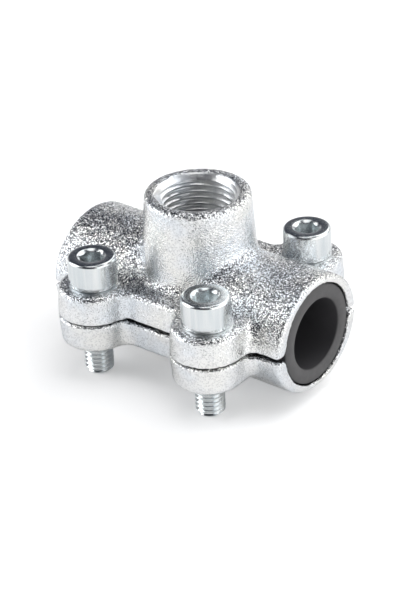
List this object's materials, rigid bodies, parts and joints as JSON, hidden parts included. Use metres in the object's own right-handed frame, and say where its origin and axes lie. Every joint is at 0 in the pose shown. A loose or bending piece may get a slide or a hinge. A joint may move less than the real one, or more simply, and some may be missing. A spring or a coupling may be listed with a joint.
{
  "type": "pipe repair clamp",
  "caption": "Split clamp with a rubber sleeve that closes round a pipe under socket head screws, with a threaded branch standing on its upper half.",
  "frame": {"origin": "on the axis of the pipe bore, halfway along the clamp", "axes": "+X along the pipe, +Z along the threaded branch, -Y towards the side that the picture shows"},
  "size_m": [0.0756, 0.064, 0.0493],
  "materials": {
    "zinc_casting": "zinc plated malleable iron, as cast, finely grained and bright",
    "zinc_screw": "zinc plated steel, smooth and bright",
    "rubber": "moulded black rubber, dull"
  },
  "bodies": {
    "upper": {"upper_half": "zinc_casting", "rubber_sleeve": "rubber"},
    "lower": {"lower_half": "zinc_casting"},
    "screw_front_left": {"screw_front_left": "zinc_screw"},
    "screw_front_right": {"screw_front_right": "zinc_screw"},
    "screw_rear_left": {"screw_rear_left": "zinc_screw"},
    "screw_rear_right": {"screw_rear_right": "zinc_screw"}
  },
  "joints": [
    {"name": "screw_front_left_turn", "type": "hinge", "parent": "upper", "child": "screw_front_left", "pos_m": [-0.0189, -0.022, 0.0082], "axis": [0, 0, 1], "range_deg": [0, 4321]},
    {"name": "screw_front_right_turn", "type": "hinge", "parent": "upper", "child": "screw_front_right", "pos_m": [0.0189, -0.022, 0.0082], "axis": [0, 0, 1], "range_deg": [0, 4321]},
    {"name": "screw_rear_left_turn", "type": "hinge", "parent": "upper", "child": "screw_rear_left", "pos_m": [-0.0189, 0.022, 0.0082], "axis": [0, 0, 1], "range_deg": [0, 4321]},
    {"name": "screw_rear_right_turn", "type": "hinge", "parent": "upper", "child": "screw_rear_right", "pos_m": [0.0189, 0.022, 0.0082], "axis": [0, 0, 1], "range_deg": [0, 4321]},
    {"name": "lower_half_slide", "type": "slide", "parent": "upper", "child": "lower", "axis": [0, 0, -1], "range_m": [0, 0.015]}
  ],
  "couplings": [
    {"joint": "screw_front_left_turn", "follows": "lower_half_slide", "rad_per_m": 5026.5},
    {"joint": "screw_front_right_turn", "follows": "lower_half_slide", "rad_per_m": 5026.5},
    {"joint": "screw_rear_left_turn", "follows": "lower_half_slide", "rad_per_m": 5026.5},
    {"joint": "screw_rear_right_turn", "follows": "lower_half_slide", "rad_per_m": 5026.5}
  ]
}
